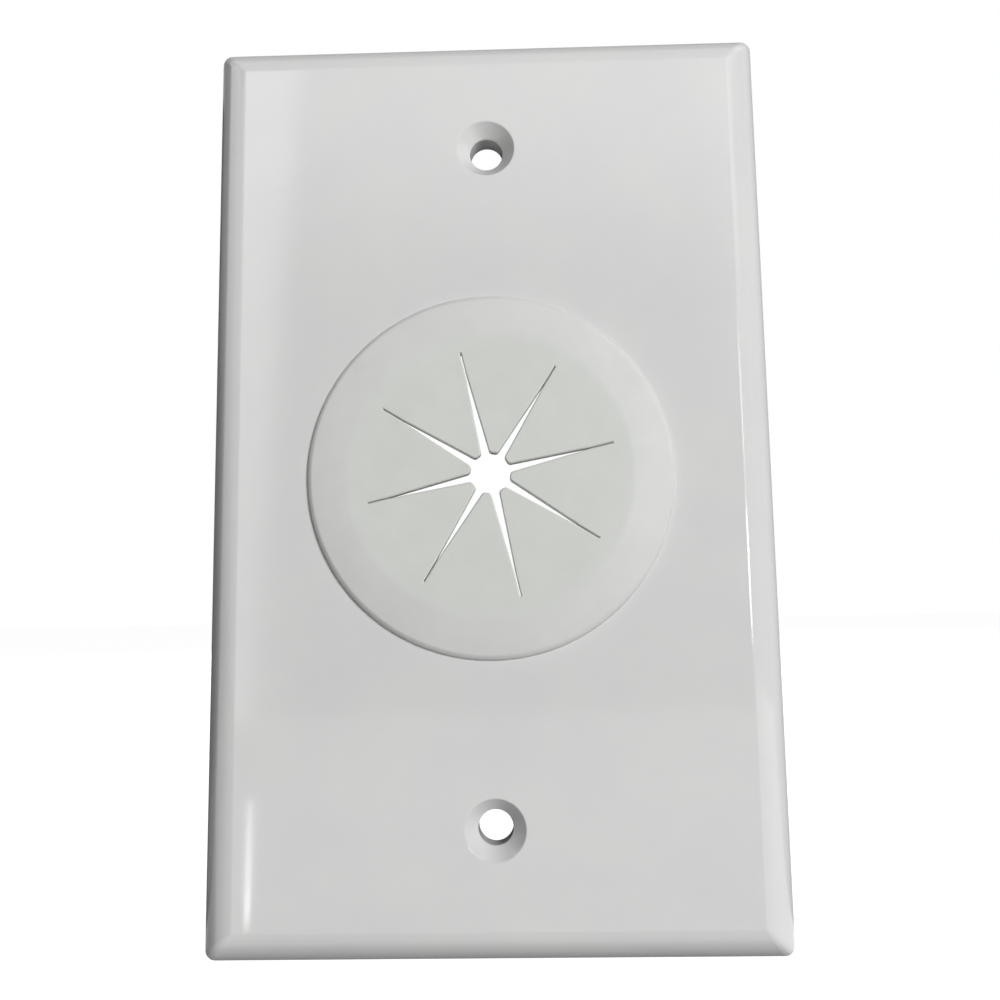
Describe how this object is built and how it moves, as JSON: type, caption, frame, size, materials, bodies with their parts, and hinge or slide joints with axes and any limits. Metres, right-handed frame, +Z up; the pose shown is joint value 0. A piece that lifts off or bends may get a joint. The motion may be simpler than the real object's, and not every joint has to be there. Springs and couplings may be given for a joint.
{
  "type": "grommet wall plate",
  "caption": "Upright rectangular wall plate with rounded mitred edges, countersunk screw holes and a soft round grommet cut into a star, for passing cables through a wall.",
  "frame": {"origin": "centre of the plate's back, on the plane of the wall", "axes": "+Z up along the plate's height, +Y into the wall, +X to the right as seen from the front"},
  "size_m": [0.0698, 0.0072, 0.1142],
  "materials": {
    "plate": "polished white moulding",
    "grommet": "soft satin white moulding"
  },
  "bodies": {
    "root": {"wall_plate": "plate", "cable_grommet": "grommet"}
  },
  "joints": []
}
